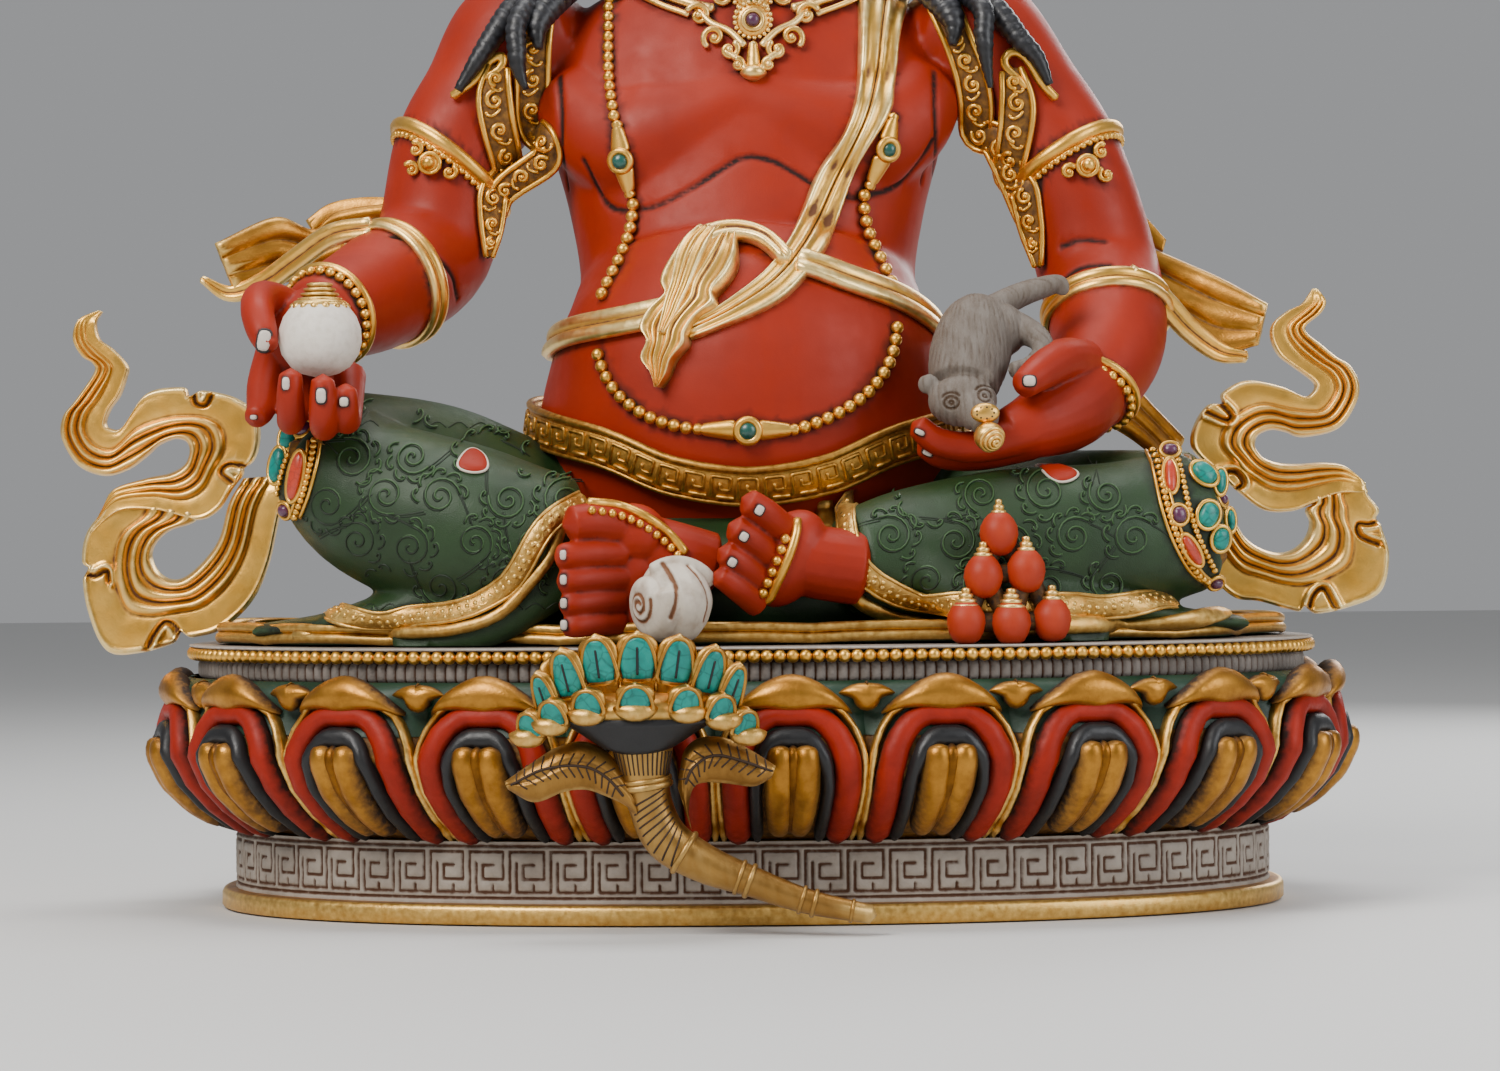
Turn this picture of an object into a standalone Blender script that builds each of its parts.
"""Seated jambhala on a lotus pedestal, about 336 mm tall.

Lengths are in millimetres and are turned into metres when a mesh is made.
The statue faces -Y, its underside lies on Z = 0 and the pedestal is centred on the Z axis.
"""
import math

import bmesh
import bpy
import numpy as np
from mathutils import Matrix, Vector

MM = 0.001
CLEARANCE = 0.3

# pedestal
FOOT_HALF_WIDTH = 133.5
FOOT_HEIGHT = 4.7
BAND_HALF_WIDTH = 130.0
BAND_TOP = 19.5
PETAL_HALF_WIDTH = 150.5
PETAL_TOP = 57.0
NECK_HALF_WIDTH = 139.0
NECK_TOP = 61.5
RING_HALF_WIDTH = 142.0
PEDESTAL_TOP = 65.5
SIDE_MINUS_FRONT = 50.0
PLAN_EXPONENT = 2.3
PETAL_COUNT = 22
PETAL_SHIFT = -9.0
COLUMNS_PER_PETAL = 10
PETAL_VALLEY = 5.5
PETAL_SHOULDER = 49.0
TIP_DROP = 4.0

# figure
SEAT = PEDESTAL_TOP + CLEARANCE
ELBOW_RADIUS = 15.5
FINGER_RADIUS = 3.3
TOE_RADIUS = 3.5
HEAD_TOP = 290.0
TOPKNOT_TOP = 338.0

# held and laid objects
GEM_CENTRE = (-102.0, -67.0, 139.5)
GEM_RADIUS = 10.0
CONCH_LENGTH = 25.0
CONCH_RADIUS = 9.7
JEWEL_RADIUS = 4.8
RIBBON_THICKNESS = 7.0
RIBBON_DEPTH = -5.0
RIBBON_TENON = 2.6

# front of the petals, in front of which the footrest stands, and front of the neck
PETAL_FRONT = PETAL_HALF_WIDTH - SIDE_MINUS_FRONT
NECK_FRONT = NECK_HALF_WIDTH - SIDE_MINUS_FRONT
FLOWER_CENTRE = (-26.0, -(PETAL_FRONT + 11.5), 51.0)
STEM_DEPTH = -(PETAL_FRONT + 8.0)
LEAF_DEPTH = -(PETAL_FRONT + 11.0)
CONCH_DEPTH = -(NECK_FRONT - 10.5)
PILE_DEPTH = -(NECK_FRONT - 12.5)
FLOWER_HALF_WIDTH = 28.0
FLOWER_HALF_DEPTH = 13.0
PEG_RADIUS = 4.0
PEG_HEIGHT = 44.0


def clear_scene():
    for item in list(bpy.data.objects):
        bpy.data.objects.remove(item, do_unlink=True)


def make_collection(name):
    group = bpy.data.collections.new(name)
    bpy.context.scene.collection.children.link(group)
    return group


def make_material(name, colour, metallic, roughness):
    material = bpy.data.materials.new(name)
    material.use_nodes = True
    shader = material.node_tree.nodes["Principled BSDF"]
    shader.inputs["Base Color"].default_value = (*colour, 1.0)
    shader.inputs["Metallic"].default_value = metallic
    shader.inputs["Roughness"].default_value = roughness
    return material


def make_object(name, bm, group, material=None):
    bmesh.ops.recalc_face_normals(bm, faces=bm.faces)
    bmesh.ops.scale(bm, vec=(MM, MM, MM), verts=bm.verts)
    mesh = bpy.data.meshes.new(name)
    bm.to_mesh(mesh)
    bm.free()
    item = bpy.data.objects.new(name, mesh)
    group.objects.link(item)
    if material:
        mesh.materials.append(material)
    return item


def make_cutter(name, bm, group):
    item = make_object(name, bm, group)
    item.hide_render = True
    item.display_type = "WIRE"
    return item


def spline(points, steps):
    """Catmull-Rom samples through rows of numbers."""
    rows = np.array(points, float)
    rows = np.vstack([2 * rows[0] - rows[1], rows, 2 * rows[-1] - rows[-2]])
    out = []
    for i in range(1, len(rows) - 2):
        a, b, c, d = rows[i - 1], rows[i], rows[i + 1], rows[i + 2]
        for k in range(steps):
            t = k / steps
            out.append(0.5 * (2 * b + (c - a) * t + (2 * a - 5 * b + 4 * c - d) * t * t
                              + (3 * b - a - 3 * c + d) * t ** 3))
    out.append(rows[-2])
    return np.array(out)


def sweep(bm, rows, sides=12, steps=4, face=None):
    """Closed swept body through rows of x, y, z, half width (and half thickness)."""
    path = spline(rows, steps)
    rings = []
    count = len(path)
    for i, row in enumerate(path):
        here = Vector(row[:3])
        ahead = Vector(path[min(i + 1, count - 1)][:3]) - Vector(path[max(i - 1, 0)][:3])
        ahead.normalize()
        guide = Vector(face) if face else Vector((0.0, 0.0, 1.0))
        if abs(ahead.dot(guide)) > 0.98:
            guide = Vector((0.0, 1.0, 0.0))
        across = ahead.cross(guide).normalized()
        out = across.cross(ahead).normalized()
        wide = max(row[3], 0.3)
        thick = max(row[4], 0.3) if len(row) > 4 else wide
        ring = []
        for k in range(sides):
            turn = 2 * math.pi * k / sides
            ring.append(bm.verts.new(here + across * wide * math.cos(turn)
                                     + out * thick * math.sin(turn)))
        rings.append(ring)
    for low, high in zip(rings[:-1], rings[1:]):
        for k in range(sides):
            n = (k + 1) % sides
            bm.faces.new((low[k], low[n], high[n], high[k]))
    for ring, row, sign in ((rings[0], path[0], -1), (rings[-1], path[-1], 1)):
        other = path[1] if sign < 0 else path[-2]
        away = (Vector(row[:3]) - Vector(other[:3])).normalized()
        tip = bm.verts.new(Vector(row[:3]) + away * min(row[3], 30.0) * 0.6)
        for k in range(sides):
            bm.faces.new((ring[k], ring[(k + 1) % sides], tip))


def ball(bm, centre, radii, turn=(0.0, 0.0, 0.0), detail=3):
    place = Matrix.Translation(centre)
    for axis, angle in zip("XYZ", turn):
        place = place @ Matrix.Rotation(math.radians(angle), 4, axis)
    place = place @ Matrix.Diagonal((*radii, 1.0))
    bmesh.ops.create_icosphere(bm, subdivisions=detail, radius=1.0, matrix=place)


def box(bm, low, high):
    size = [h - l for l, h in zip(low, high)]
    middle = [(h + l) / 2 for l, h in zip(low, high)]
    place = Matrix.Translation(middle) @ Matrix.Diagonal((*size, 1.0))
    bmesh.ops.create_cube(bm, size=1.0, matrix=place)


def fuse(item, voxel, rounds, ratio):
    """One skin over overlapping bodies, softened at the joins and then thinned."""
    remesh = item.modifiers.new("skin", "REMESH")
    remesh.mode = "VOXEL"
    remesh.voxel_size = voxel * MM
    smooth = item.modifiers.new("soften", "SMOOTH")
    smooth.factor = 0.5
    smooth.iterations = rounds
    thin = item.modifiers.new("thin", "DECIMATE")
    thin.ratio = ratio


def subtract(item, cutter):
    cut = item.modifiers.new("cut_" + cutter.name, "BOOLEAN")
    cut.operation = "DIFFERENCE"
    cut.solver = "EXACT"
    cut.object = cutter


# pedestal
def plan_points(count):
    """Plan of the oval at unit size, in equal steps, from a valley near the front centre."""
    half_x = PETAL_HALF_WIDTH
    half_y = PETAL_HALF_WIDTH - SIDE_MINUS_FRONT
    fine = []
    for i in range(4001):
        turn = 2 * math.pi * i / 4000 - math.pi / 2
        c, s = math.cos(turn), math.sin(turn)
        fine.append((math.copysign(abs(c) ** (2 / PLAN_EXPONENT), c),
                     math.copysign(abs(s) ** (2 / PLAN_EXPONENT), s)))
    fine = np.array(fine)
    real = fine * (half_x, half_y)
    run = np.concatenate([[0], np.cumsum(np.linalg.norm(np.diff(real, axis=0), axis=1))])
    want = (np.arange(count) / count * run[-1] + PETAL_SHIFT) % run[-1]
    return np.stack([np.interp(want, run, fine[:, 0]), np.interp(want, run, fine[:, 1])], axis=1)


def build_pedestal(group, material):
    columns = PETAL_COUNT * COLUMNS_PER_PETAL
    plan = plan_points(columns)
    rows = [(0.0, FOOT_HALF_WIDTH, 0), (FOOT_HEIGHT - 0.7, FOOT_HALF_WIDTH, 0),
            (FOOT_HEIGHT, FOOT_HALF_WIDTH - 0.8, 0), (FOOT_HEIGHT + 0.3, BAND_HALF_WIDTH, 0),
            (BAND_TOP, BAND_HALF_WIDTH, 0), (BAND_TOP + 0.4, BAND_HALF_WIDTH - 2.0, 0.1)]
    rows += [(BAND_TOP + rise, PETAL_HALF_WIDTH - inset, share) for rise, inset, share in
             ((3.0, 16.5, 0.5), (7.5, 9.5, 0.8), (13.5, 3.5, 1), (20.0, 0.0, 1), (26.0, 2.0, 1),
              (30.5, 4.5, 1), (34.0, 3.0, 1), (36.5, 4.0, 1))]
    rows += [(PETAL_TOP, PETAL_HALF_WIDTH - 8.0, 0.6),
             (PETAL_TOP + 0.3, NECK_HALF_WIDTH, 0), (NECK_TOP, NECK_HALF_WIDTH, 0),
             (NECK_TOP + 0.4, RING_HALF_WIDTH - 1.0, 0),
             ((NECK_TOP + PEDESTAL_TOP) / 2, RING_HALF_WIDTH, 0),
             (PEDESTAL_TOP - 0.5, RING_HALF_WIDTH - 0.9, 0), (PEDESTAL_TOP, NECK_HALF_WIDTH, 0)]
    bm = bmesh.new()
    rings = []
    for height, half, petal in rows:
        ring = []
        for i in range(columns):
            u = (i % COLUMNS_PER_PETAL) / COLUMNS_PER_PETAL * 2 - 1
            reach = half - petal * PETAL_VALLEY * abs(u) ** 3
            level = height
            if petal and height > PETAL_SHOULDER:
                rise = (height - PETAL_SHOULDER) / (PETAL_TOP - PETAL_SHOULDER)
                level = height - TIP_DROP * u * u * rise
            x = plan[i][0] * reach
            y = plan[i][1] * (reach - SIDE_MINUS_FRONT)
            ring.append(bm.verts.new((x, y, level)))
        rings.append(ring)
    for low, high in zip(rings[:-1], rings[1:]):
        for k in range(columns):
            n = (k + 1) % columns
            bm.faces.new((low[k], low[n], high[n], high[k]))
    for ring, height in ((rings[0], 0.0), (rings[-1], PEDESTAL_TOP)):
        hub = bm.verts.new((0.0, 0.0, height))
        for k in range(columns):
            bm.faces.new((ring[k], ring[(k + 1) % columns], hub))
    item = make_object("lotus_base", bm, group, material)
    thin = item.modifiers.new("thin", "DECIMATE")
    thin.ratio = 0.26
    return item


# figure
# torso sections: height, centre in depth, half width, half depth
TORSO = [(80, 10, 50, 40), (100, 5, 54, 43), (118, -2, 53.5, 46), (134, -4, 50, 44),
         (147, 1, 45, 38), (157, 6, 42.5, 33), (175, 10, 45.5, 31), (190, 12, 49.5, 30),
         (206, 14, 52, 28), (220, 16, 48, 24), (232, 18, 32, 19), (242, 18, 15, 14)]


def torso_depth(x, z, lift, side=-1):
    """Depth of the torso's skin at a place, lifted off by a few millimetres."""
    heights, centres, widths, depths = zip(*TORSO)
    centre = np.interp(z, heights, centres)
    wide = np.interp(z, heights, widths)
    deep = np.interp(z, heights, depths)
    share = min(abs(x) / wide, 0.97)
    reach = centre + side * deep * math.sqrt(1 - share * share)
    if side < 0:
        hump = 1 - ((abs(x) - 23) / 20) ** 2 - ((z - 191) / 17) ** 2
        reach = min(reach, -7 - 11 * hump) if hump > 0 else reach
    return reach + side * lift


def add_torso(bm):
    sweep(bm, [(0, y, z, wide, deep) for z, y, wide, deep in TORSO],
          sides=32, steps=4, face=(0, 1, 0))
    for side in (-1, 1):
        ball(bm, (side * 23, -6, 191), (21, 13, 16), turn=(12, 0, 0))


def add_head(bm):
    sweep(bm, [(0, 18, 226, 16), (0, 16, 252, 15)])
    ball(bm, (0, 14, 268), (20.5, 23, HEAD_TOP - 268))
    ball(bm, (0, 2, 254), (14.5, 13, 14))
    ball(bm, (0, -11.5, 262), (3.2, 4.0, 5.5))
    ball(bm, (0, 17, 276), (22.5, 24, 18))
    sweep(bm, [(0, 16, 288, 13), (0, 16, 300, 11.5), (0, 16, 310, 8), (0, 16, 316, 8.5),
               (0, 16, 326, 5), (0, 16, TOPKNOT_TOP - 2.5, 1.8)])
    for side in (-1, 1):
        ball(bm, (side * 21.5, 14, 262), (3, 5.5, 9.5))
        ball(bm, (side * 24.5, 11, 249), (3.5, 6.5, 6.5))
    for angle in (-72, -38, 0, 38, 72):
        turn = math.radians(angle)
        x, y = 22.5 * math.sin(turn), 15 - 24 * math.cos(turn)
        tall = 17 if angle == 0 else 14
        sweep(bm, [(x, y, 281, 6.5, 2.2), (x * 1.05, y * 1.04, 287, 7.2, 2.4),
                   (x * 1.08, y * 1.08, 287 + tall * 0.55, 4.5, 2.0),
                   (x * 1.1, y * 1.1, 285 + tall, 1.2, 1.2)],
              sides=8, steps=2, face=(math.sin(turn), -math.cos(turn), 0))


def add_arm(bm, rows):
    sweep(bm, rows, sides=18, steps=5)


def add_fingers(bm, chains):
    for chain in chains:
        sweep(bm, chain, sides=10, steps=4)


def add_leg(bm, thigh, shin):
    sweep(bm, thigh, sides=24, steps=4)
    sweep(bm, shin, sides=24, steps=4)


def build_figure(group, cutters, material):
    r = FINGER_RADIUS
    bm = bmesh.new()
    add_torso(bm)
    add_head(bm)
    add_arm(bm, [(-48, 16, 222, 16), (-58, 15, 218, 18), (-67, 12, 204, 16),
                 (-75, 8, 190, 15), (-80, 5, 165, ELBOW_RADIUS), (-92, -18, 153, 14.5),
                 (-101, -38, 147, 12)])
    add_arm(bm, [(48, 16, 222, 16), (58, 15, 218, 18), (70, 12, 203, 16),
                 (81, 8, 186, 15), (89, 5, 158, ELBOW_RADIUS), (90, -14, 140, 14.5),
                 (85, -28, 128, 11.5)])
    ball(bm, (-106, -50, 138), (12, 12, 12))
    add_fingers(bm, [
        [(-111, -44, 147, 4.6), (-117, -56, 149, 4.4), (-117, -66, 144, 4), (-115, -72, 137, 3)],
        [(-114, -50, 138, 5), (-116, -60, 126, r + 0.6), (-116.5, -67, 121, r)],
        [(-109, -52, 131, 4.5), (-109, -67, 119.5, r), (-108, -75, 122, r), (-108, -78, 130, r)],
        [(-102, -52, 130, 4.5), (-101, -69, 118, r), (-100.5, -77, 121, r),
         (-100.5, -79, 128.5, r)],
        [(-96.5, -52, 131, 4.5), (-95.5, -67, 119.5, r), (-95.5, -74, 121, r),
         (-95.5, -76, 126.5, r)]])
    sweep(bm, [(85, -28, 128, 10.5), (76, -42, 121, 10), (64, -50, 116, 7.5)], sides=14)
    add_fingers(bm, [
        [(82, -36, 132, 5.5), (74, -49, 132, 4.6), (66.5, -58, 127, 3.6)],
        [(66, -50, 115, 4.5), (52, -52, 113, r + 0.4), (40, -53, 118, r)],
        [(66, -48, 114, 4.5), (54, -47, 110.5, r + 0.4), (43, -47, 113, r)]])
    add_leg(bm, [(-32, 6, 84, 27), (-58, -10, 93, 23.5), (-80, -25, 104, 21.5),
                 (-103, -43, 112.5, 16)],
            [(-103, -44, 112, 16), (-90, -50, 101, 19.5), (-68, -54, 93, 21),
             (-46, -58, 88, 18)])
    add_leg(bm, [(32, 6, 84, 27), (58, -10, 90, 22.5), (84, -26, 93, 19), (107, -39, 94, 17.5)],
            [(107, -38, 94, 17.5), (88, -46, 90, 18.5), (62, -50, 88, 19), (38, -54, 86, 16.5),
             (24, -60, 85, 12.5)])
    ball(bm, (0, -18, 76), (66, 42, 24))
    ball(bm, (0, 34, 82), (78, 42, 26))
    ball(bm, (-2, -2, SEAT - 1.0), (134, 73, 4.2), detail=4)
    sweep(bm, [(0, 49, 124, 5, 3), (-38, 36, 123, 5, 3), (-53, 6, 121, 5, 3),
               (-38, -34, 113, 5, 3), (-20, -47, 104, 5, 3), (0, -51, 101, 5, 3),
               (20, -47, 104, 5, 3), (38, -34, 113, 5, 3), (53, 6, 121, 5, 3),
               (38, 36, 123, 5, 3), (0, 49, 124, 5, 3)], sides=8, steps=4, face=(0, 0, 1))
    add_feet(bm)
    add_cloth(bm)
    item = make_object("figure", bm, group, material)
    fuse(item, 1.3, 4, 0.0094)
    floor = bmesh.new()
    reach = 1.3 * PETAL_HALF_WIDTH
    box(floor, (-reach, -reach, 0), (reach, reach, SEAT))
    subtract(item, make_cutter("seat_plane", floor, cutters))
    return item


def add_feet(bm):
    ball(bm, (-29, -68, 82), (11, 9, 15))
    sweep(bm, [(-30, -66, 90, 9), (-16, -64, 87, 9)], sides=12)
    add_fingers(bm, [[(-33, -73, 93, 4.6), (-42, -80, 94.5, 4.4)]])
    for level in (86.5, 80.5, 75.0, 69.8):
        add_fingers(bm, [[(-33, -73, level, TOE_RADIUS), (-42.5, -82, level, TOE_RADIUS - 0.3)]])
    ball(bm, (9, -68, 86), (9, 8, 13), turn=(0, 30, 0))
    sweep(bm, [(10, -67, 86, 9), (22, -66, 84, 9.5)], sides=12)
    for x, z in ((-1, 99), (-4, 92.8), (-6.5, 87), (-7.5, 81.5)):
        add_fingers(bm, [[(x + 9, -71, z - 6, TOE_RADIUS), (x, -78, z, TOE_RADIUS)]])


def add_cloth(bm):
    sash = [(37, 232, 6), (35, 215, 6), (31, 200, 6), (24, 182, 6), (15, 165, 6), (4, 152, 6),
            (-9, 143, 6), (-20, 134, 6)]
    loop = [(12, 158, 4), (2, 164, 4.5), (-14, 158, 5.5), (-21, 144, 5), (-22, 131, 2)]
    for strip in (sash, loop):
        sweep(bm, [(x, torso_depth(x, z, 2.2), z, wide, 3.4) for x, z, wide in strip],
              sides=8, face=(0, -1, 0))
    for side in (-1, 1):
        belt = [(side * 12, 153, -1), (side * 30, 147, -1), (side * 42, 144, -1),
                (side * 42, 145, 1), (side * 25, 146, 1), (side * 4, 147, 1)]
        sweep(bm, [(x, torso_depth(x, z, 0.8, face), z, 4.0, 3.0) for x, z, face in belt],
              sides=8, face=(0, 0, 1))
        sweep(bm, [(side * 54, 14, 236, 8, 3), (side * 62, -2, 222, 8, 3),
                   (side * 62, -7, 200, 7.5, 3), (side * 61, -5, 178, 6, 3)],
              sides=8, face=(0, -1, 0))
        for shift in (0, 8, 16):
            sweep(bm, [(side * 26, 26, 250, 4), (side * (44 + shift * 0.5), 18, 240, 4.5),
                       (side * (58 + shift * 0.8), 2 + shift * 0.5, 226 - shift * 0.4, 4),
                       (side * (60 + shift * 0.9), -4 + shift * 0.7, 208 + shift * 0.2, 2)],
                  sides=8)
    sweep(bm, [(-92, 10, 170, 7, 2.5), (-107, 12, 171, 8, 2.5), (-121, 8, 167, 9, 2.5),
               (-130, 2, 163, 7, 2), (-134, 0, 166, 2, 1.5)], sides=8, face=(0, -1, 0.3))
    sweep(bm, [(-126, 2, 158, 2.5, 2), (-115, -2, 160, 3, 2), (-101, -11, 165, 3, 2),
               (-87, -22, 163, 3.2, 2), (-79, -27, 150, 3.2, 2), (-86, -22, 137, 3.2, 2),
               (-96, -8, 140, 3, 2)], sides=8)
    sweep(bm, [(98, 12, 162, 7, 2.5), (112, 12, 154, 8, 2.5), (123, 8, 145, 8.5, 2.5),
               (131, 2, 140, 6, 2)], sides=8, face=(0, -1, 0.3))
    sweep(bm, [(76, -24, 146, 3, 2), (82, -30, 152, 3.2, 2), (92, -26, 154, 3.4, 2),
               (104, -8, 150, 3.6, 2), (116, 4, 140, 3.6, 2)], sides=8)
    sweep(bm, [(88, -14, 126, 5, 2.5), (101, -5, 116, 6, 2.5), (112, 8, 108, 7, 2.5)],
          sides=8, face=(0, -1, 0))
    for side, rows in ((-1, [(-61, 10), (-74, 26), (-91, 10), (-76, -9)]),
                       (1, [(66, 10), (80, 26), (97, 10), (83, -9)])):
        loop = [(x, y, 183 - (abs(x) - 76) * -0.75, 3.6, 2.2) for x, y in rows + rows[:1]]
        sweep(bm, loop, sides=8, face=(0, 0, 1))


# ribbons
def ribbon_tenon(bm, side, grow):
    """Root of a ribbon, which goes into the back of the thigh."""
    root, tip = ((-117, -6, 104), (-92, -16, 106)) if side < 0 else ((118, -6, 91), (92, -14, 91))
    wide, thick = 5.0 + grow, RIBBON_TENON + grow
    middle = [(a + b) / 2 for a, b in zip(root, tip)]
    sweep(bm, [(*root, wide, thick), (*middle, wide, thick), (*tip, wide - 1, thick)],
          sides=12, steps=3, face=(0, -1, 0))


def add_band(bm, edges):
    """Loft between an inner and an outer edge, thickest along its folded inner side."""
    shares = (0.0, 0.12, 0.32, 0.55, 0.8, 1.0)
    swell = (0.35, 0.95, 1.0, 0.8, 0.62, 0.3)
    half = RIBBON_THICKNESS / 2
    rings = []
    for x_in, z_in, x_out, z_out in spline(edges, 3):
        front, back = [], []
        for share, size in zip(shares, swell):
            x = x_in + (x_out - x_in) * share
            z = z_in + (z_out - z_in) * share
            front.append(bm.verts.new((x, RIBBON_DEPTH - half * size, z)))
            back.append(bm.verts.new((x, RIBBON_DEPTH + half * size * 0.8, z)))
        rings.append(front + back[::-1])
    for low, high in zip(rings[:-1], rings[1:]):
        for k in range(len(low)):
            n = (k + 1) % len(low)
            bm.faces.new((low[k], low[n], high[n], high[k]))
    bm.faces.new(rings[0])
    bm.faces.new(rings[-1])


def build_ribbon(name, side, stretches, group, material):
    """A flat ribbon that folds over itself twice on its way up."""
    bm = bmesh.new()
    for edges in stretches:
        add_band(bm, edges)
    ribbon_tenon(bm, side, 0.0)
    item = make_object(name, bm, group, material)
    fuse(item, 0.8, 2, 0.0225)
    return item


# other pieces
def mongoose_bodies(bm, grow):
    g = grow
    sweep(bm, [(66, -37, 146, 5 + g), (60, -39, 142, 8 + g), (55, -44, 135, 9 + g),
               (52, -51, 127, 8 + g)], sides=16)
    ball(bm, (52, -57, 123), (8.5 + g, 7.5 + g, 7 + g))
    sweep(bm, [(53, -60, 121, 5 + g), (56, -66, 117.5, 3.6 + g), (57, -68, 113, 3.4 + g)],
          sides=12)
    ball(bm, (43.5, -54, 127), (2.6 + g, 2 + g, 3 + g))
    ball(bm, (59.5, -54, 128), (2.6 + g, 2 + g, 3 + g))
    sweep(bm, [(65, -37, 146, 4.5 + g), (70, -35, 150, 3.6 + g), (76, -34, 156, 2.8 + g),
               (73, -36, 159, 2.0 + g)], sides=10)
    sweep(bm, [(64, -41, 142, 4.5 + g), (68, -48, 139, 3.4 + g), (63, -54, 133, 2.6 + g)],
          sides=10)


def build_mongoose(group, material):
    bm = bmesh.new()
    mongoose_bodies(bm, 0.0)
    item = make_object("mongoose", bm, group, material)
    fuse(item, 0.8, 3, 0.036)
    return item


def turned_object(name, profile, group, material, steps=20):
    """A profile of heights and radii, from top to bottom, turned round Z by a Screw modifier."""
    bm = bmesh.new()
    verts = [bm.verts.new((radius * MM, 0.0, height * MM)) for height, radius in profile]
    for low, high in zip(verts[:-1], verts[1:]):
        bm.edges.new((low, high))
    mesh = bpy.data.meshes.new(name)
    bm.to_mesh(mesh)
    bm.free()
    item = bpy.data.objects.new(name, mesh)
    group.objects.link(item)
    mesh.materials.append(material)
    screw = item.modifiers.new("turn", "SCREW")
    screw.axis = "Z"
    screw.steps = steps
    screw.render_steps = steps
    screw.use_merge_vertices = True
    screw.merge_threshold = 0.00001
    return item


def build_wish_jewel(group, material):
    profile = [(14.6, 0), (14.2, 1.2), (13.6, 2.2), (12.6, 3.0), (12.2, 3.6), (11.2, 4.4),
               (10.8, 5.0), (9.6, 5.8), (9.2, 5.4), (7.5, 6.8), (4, 9.2), (0, GEM_RADIUS),
               (-3, 9.6), (-7, 7.2), (-9.4, 3.4), (-9.9, 0)]
    item = turned_object("wish_jewel", profile, group, material)
    item.location = [v * MM for v in GEM_CENTRE]
    return item


def build_conch(group, material):
    """The shell lies on its side, its spire to the left."""
    shares = [(0, 0), (0.02, 1.2), (0.05, 2.4), (0.09, 2.5), (0.12, 4.0), (0.19, 4.4),
              (0.22, 6.4), (0.3, 7.4), (0.36, 9.0), (0.52, CONCH_RADIUS), (0.7, 9.5),
              (0.86, 7.6), (0.96, 4.0), (1.0, 0)]
    profile = [(-share * CONCH_LENGTH, radius) for share, radius in shares]
    item = turned_object("conch_shell", profile, group, material)
    item.location = (-29.0 * MM, CONCH_DEPTH * MM, (SEAT + CONCH_RADIUS + 0.8) * MM)
    item.rotation_euler = (0.0, math.radians(-90), 0.0)
    return item


def pile_bodies(bm, grow):
    g = grow
    front = PILE_DEPTH
    places = [(50.5, front - 3, SEAT + 5.2), (61, front - 1.5, SEAT + 5.2),
              (71.5, front + 2, SEAT + 5.2), (55, front, SEAT + 16),
              (66.5, front + 2.5, SEAT + 16), (60.5, front + 3, SEAT + 25.5)]
    for x, y, z in places:
        sweep(bm, [(x, y, z - 4.6 - g, 2.6 + g), (x, y, z - 2.6, 4.3 + g),
                   (x, y, z, JEWEL_RADIUS + g), (x, y, z + 3, 4.0 + g),
                   (x, y, z + 4.6, 2.6 + g), (x, y, z + 6.4, 1.6 + g),
                   (x, y, z + 7.4 + g, 0.7 + g)], sides=14, steps=2)
    ball(bm, (61, front + 2.5, SEAT + 9), (10 + g, 4 + g, 10 + g))


def build_jewel_pile(group, material):
    bm = bmesh.new()
    pile_bodies(bm, 0.0)
    item = make_object("jewel_pile", bm, group, material)
    fuse(item, 0.6, 2, 0.03)
    floor = bmesh.new()
    box(floor, (30, -120, SEAT - 20), (90, -50, SEAT))
    return item, floor


def footrest_peg(bm, grow):
    """Peg that holds the footrest in the front of the pedestal."""
    cx, cy, _ = FLOWER_CENTRE
    radius = PEG_RADIUS + grow
    sweep(bm, [(cx, cy + 2, PEG_HEIGHT, radius), (cx, -(PETAL_FRONT - 6), PEG_HEIGHT, radius),
               (cx, -(PETAL_FRONT - 13), PEG_HEIGHT, radius)], sides=16, steps=1)


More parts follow.
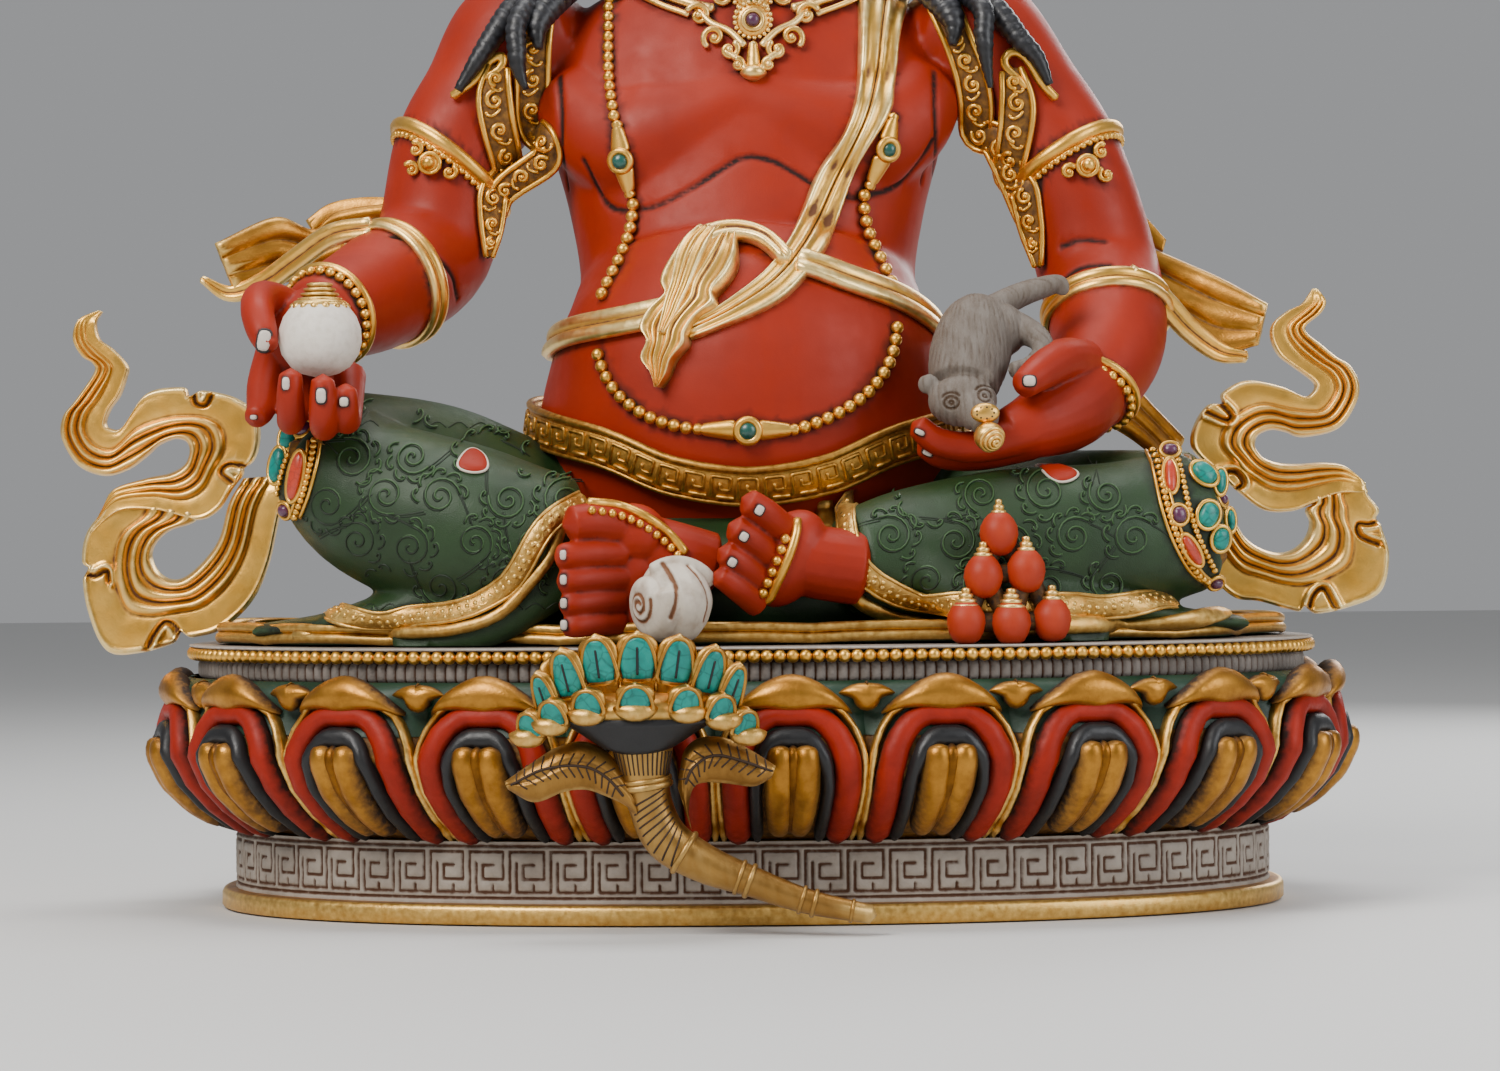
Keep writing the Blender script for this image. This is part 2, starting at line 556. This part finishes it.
def build_footrest(group, material):
    cx, cy, cz = FLOWER_CENTRE
    bm = bmesh.new()
    footrest_peg(bm, 0.0)
    ball(bm, (cx, cy, cz), (FLOWER_HALF_WIDTH - 4, FLOWER_HALF_DEPTH - 2, 4))
    sweep(bm, [(cx, cy, cz - 1, 14), (cx, cy + 2, cz - 7, 9), (cx + 1, cy + 3, cz - 17, 6.4),
               (cx + 4, cy + 4, cz - 25, 5), (cx + 12, STEM_DEPTH + 1.5, cz - 33, 4.2),
               (cx + 25, STEM_DEPTH, cz - 40, 3.6), (cx + 39, STEM_DEPTH - 0.5, cz - 44.2, 2.9),
               (cx + 53, STEM_DEPTH - 1.5, cz - 46.6, 2.2)], sides=14)
    for i in range(9):
        turn = math.radians(-10 + 200 * i / 8)
        x = cx + (FLOWER_HALF_WIDTH - 5) * math.cos(turn)
        y = cy - (FLOWER_HALF_DEPTH - 3) * math.sin(turn)
        ball(bm, (x, y, cz), (4.6, 3.6, 3.6), detail=2)
    for i in range(7):
        turn = math.radians(8 + 164 * i / 6)
        x = cx + (FLOWER_HALF_WIDTH - 5) * math.cos(turn)
        y = cy + 8 * math.sin(turn)
        z = cz + 6.5 + 5 * math.sin(turn)
        ball(bm, (x, y, z), (4.2, 2.4, 6.2), turn=(0, 24 * math.cos(turn), 0), detail=2)
    sweep(bm, [(cx - 3, STEM_DEPTH, cz - 20, 3, 1.6), (cx - 10, LEAF_DEPTH, cz - 13, 5, 1.8),
               (cx - 20, LEAF_DEPTH, cz - 12, 4.5, 1.8), (cx - 31, LEAF_DEPTH, cz - 16, 1, 1)],
          sides=8, face=(0, -1, 0))
    sweep(bm, [(cx + 8, STEM_DEPTH, cz - 16, 3, 1.6), (cx + 15, LEAF_DEPTH, cz - 9, 5, 1.8),
               (cx + 23, LEAF_DEPTH, cz - 8.5, 4, 1.8), (cx + 32, LEAF_DEPTH, cz - 12, 1, 1)],
          sides=8, face=(0, -1, 0))
    item = make_object("lotus_footrest", bm, group, material)
    fuse(item, 0.8, 3, 0.027)
    return item


# edges of the ribbons, from root to tip: inner x and z, outer x and z
LEFT_RIBBON = [
    [(-131.2, 100.8, -117.7, 99.6),
     (-133.6, 92.3, -121.1, 85.6), (-137.3, 86.8, -125.7, 75.8), (-142.2, 82.5, -133.6, 68.5),
     (-145.8, 81.8, -142.2, 66.2), (-148.9, 83.7, -153.1, 63.0), (-150.4, 86.8, -162.3, 63.6),
     (-150.4, 89.2, -167.2, 74.6), (-148.9, 91.7, -168.4, 86.2), (-145.8, 94.1, -167.2, 93.5),
     (-139.7, 96.3, -162.9, 99.6)],
    [(-163.2, 99.0, -166.3, 92.9),
     (-159.9, 104.5, -158.6, 99.0), (-151.9, 107.2, -148.9, 99.0), (-145.8, 108.5, -139.1, 96.6),
     (-142.2, 110.6, -133.6, 99.0), (-140.9, 113.7, -129.9, 104.5),
     (-141.5, 116.1, -123.8, 113.1), (-143.4, 117.0, -123.5, 122.2),
     (-145.8, 116.7, -128.7, 127.1), (-148.9, 115.2, -136.7, 129.2),
     (-151.9, 112.4, -144.6, 130.1), (-156.2, 109.4, -151.9, 128.3)],
    [(-156.2, 109.4, -154.4, 125.9),
     (-162.3, 107.9, -157.4, 120.4), (-169.0, 110.6, -160.5, 119.8),
     (-173.0, 117.3, -161.7, 121.3), (-172.7, 122.8, -160.5, 124.7),
     (-169.6, 126.8, -158.0, 128.3), (-164.7, 133.8, -156.5, 132.6),
     (-165.1, 136.3, -156.2, 135.6), (-167.8, 138.1, -159.9, 139.9),
     (-169.9, 142.4, -163.2, 142.4), (-168.4, 147.2, -164.1, 146.6),
     (-163.4, 149.6, -162.6, 149.3)]]
RIGHT_RIBBON = [
    [(122.2, 94.3, 117.3, 79.0),
     (124.7, 90.0, 122.2, 74.7), (128.3, 87.3, 128.3, 73.8), (132.6, 86.0, 135.6, 71.7),
     (136.3, 86.7, 141.7, 70.5), (139.0, 88.8, 150.3, 72.0), (140.5, 91.5, 158.8, 76.0),
     (140.8, 94.0, 161.0, 85.1), (139.9, 96.1, 159.1, 92.5), (140.2, 97.3, 158.5, 96.7),
     (141.7, 98.3, 155.8, 100.4)],
    [(154.3, 104.1, 155.5, 101.0),
     (149.7, 107.7, 147.9, 100.7), (144.2, 108.6, 141.7, 98.3), (138.1, 108.3, 136.3, 96.4),
     (133.2, 108.6, 129.5, 96.7), (129.5, 109.9, 123.4, 101.0), (127.7, 112.0, 117.3, 106.5),
     (127.4, 113.8, 111.2, 112.9), (128.3, 115.7, 113.0, 120.5), (131.4, 116.9, 119.2, 126.6),
     (135.0, 116.3, 125.3, 129.4), (139.3, 115.0, 133.8, 127.9)],
    [(140.5, 114.9, 135.6, 127.0),
     (147.9, 116.9, 139.3, 125.4), (152.4, 122.4, 141.4, 126.0), (153.7, 127.9, 142.4, 127.9),
     (151.5, 132.8, 141.1, 129.7), (147.9, 135.2, 136.9, 132.8), (144.2, 138.3, 133.2, 135.8),
     (140.8, 141.0, 131.4, 140.1), (140.5, 143.1, 132.0, 143.7), (144.2, 146.2, 135.6, 146.8),
     (145.4, 149.2, 139.3, 148.6), (143.3, 152.3, 142.2, 152.4)]]


clear_scene()
statue = make_collection("jambhala_statue")
cutters = make_collection("cutters")

gilt = make_material("gilt", (0.72, 0.47, 0.16), 1.0, 0.32)
red_paint = make_material("red_paint", (0.42, 0.05, 0.025), 0.0, 0.5)
lotus_paint = make_material("lotus_paint", (0.45, 0.3, 0.16), 0.0, 0.45)
brass = make_material("brass", (0.55, 0.36, 0.15), 1.0, 0.35)
white_paint = make_material("white_paint", (0.65, 0.62, 0.56), 0.0, 0.5)
jewel_red = make_material("jewel_red", (0.4, 0.06, 0.03), 0.0, 0.4)
grey_paint = make_material("grey_paint", (0.22, 0.2, 0.18), 0.0, 0.6)

lotus_base = build_pedestal(statue, lotus_paint)
figure = build_figure(statue, cutters, red_paint)
build_ribbon("ribbon_left", -1, LEFT_RIBBON, statue, gilt)
build_ribbon("ribbon_right", 1, RIGHT_RIBBON, statue, gilt)
build_mongoose(statue, grey_paint)
build_wish_jewel(statue, white_paint)
build_conch(statue, white_paint)
jewel_pile, pile_floor = build_jewel_pile(statue, jewel_red)
build_footrest(statue, brass)
subtract(jewel_pile, make_cutter("pile_floor", pile_floor, cutters))

gem_room = bmesh.new()
ball(gem_room, GEM_CENTRE, (GEM_RADIUS + 0.5, GEM_RADIUS + 0.5, GEM_RADIUS + 0.5))
subtract(figure, make_cutter("gem_room", gem_room, cutters))
mongoose_room = bmesh.new()
mongoose_bodies(mongoose_room, 0.6)
room = make_cutter("mongoose_room", mongoose_room, cutters)
fuse(room, 0.8, 3, 0.12)
subtract(figure, room)
shell_room = bmesh.new()
shell_height = SEAT + CONCH_RADIUS + 0.8
sweep(shell_room, [(x, CONCH_DEPTH, shell_height, wide) for x, wide in
                   ((-31, 3), (-28, 8), (-22, 10.3), (-10, 10.5), (-3.5, 6))], sides=18, steps=3)
subtract(figure, make_cutter("shell_room", shell_room, cutters))
pile_space = bmesh.new()
pile_bodies(pile_space, 0.7)
pile_room = make_cutter("pile_room", pile_space, cutters)
fuse(pile_room, 0.8, 2, 0.12)
subtract(figure, pile_room)
peg_hole = bmesh.new()
footrest_peg(peg_hole, CLEARANCE + 0.1)
subtract(lotus_base, make_cutter("peg_hole", peg_hole, cutters))
sockets = bmesh.new()
for side in (-1, 1):
    ribbon_tenon(sockets, side, CLEARANCE + 0.2)
subtract(figure, make_cutter("ribbon_sockets", sockets, cutters))
